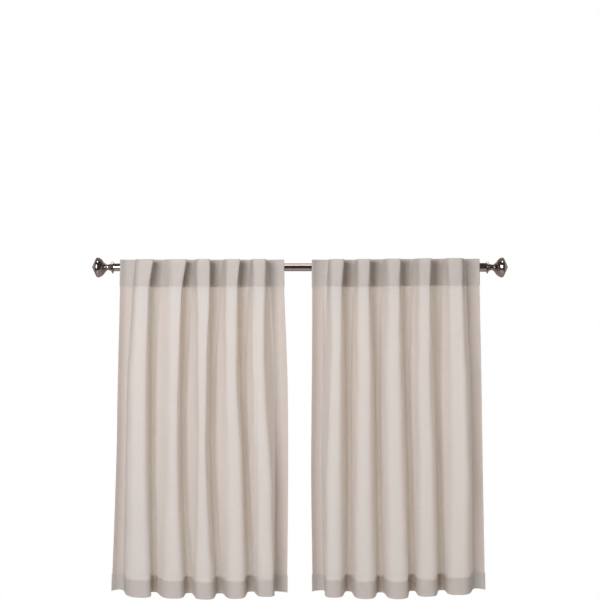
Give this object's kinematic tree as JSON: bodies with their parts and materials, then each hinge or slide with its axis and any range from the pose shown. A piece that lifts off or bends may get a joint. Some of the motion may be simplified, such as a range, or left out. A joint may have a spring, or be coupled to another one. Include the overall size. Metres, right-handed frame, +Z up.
{
  "type": "cafe curtains on a curtain rod",
  "caption": "Semi-sheer linen-look tier curtains hung by hidden back tabs, in soft forward folds, on a telescoping metal rod with turned bell finials.",
  "frame": {"origin": "on the rod's axis, at the middle of its length", "axes": "+X along the rod to the right as seen from the front, +Z up, the curtain's front towards -Y"},
  "size_m": [1.1534, 0.1116, 0.9285],
  "materials": {
    "linen": "semi-sheer slub weave",
    "tab_linen": "slub weave, doubled",
    "pewter": "polished dark pewter plating"
  },
  "bodies": {
    "root": {"panel_left": "linen", "panel_right": "linen", "tab_left_1": "tab_linen", "tab_left_2": "tab_linen", "tab_left_3": "tab_linen", "tab_left_4": "tab_linen", "tab_left_5": "tab_linen", "tab_left_6": "tab_linen", "tab_right_1": "tab_linen", "tab_right_2": "tab_linen", "tab_right_3": "tab_linen", "tab_right_4": "tab_linen", "tab_right_5": "tab_linen", "tab_right_6": "tab_linen", "rod_inner": "pewter", "rod_outer": "pewter", "finial_left": "pewter", "finial_right": "pewter"}
  },
  "joints": []
}
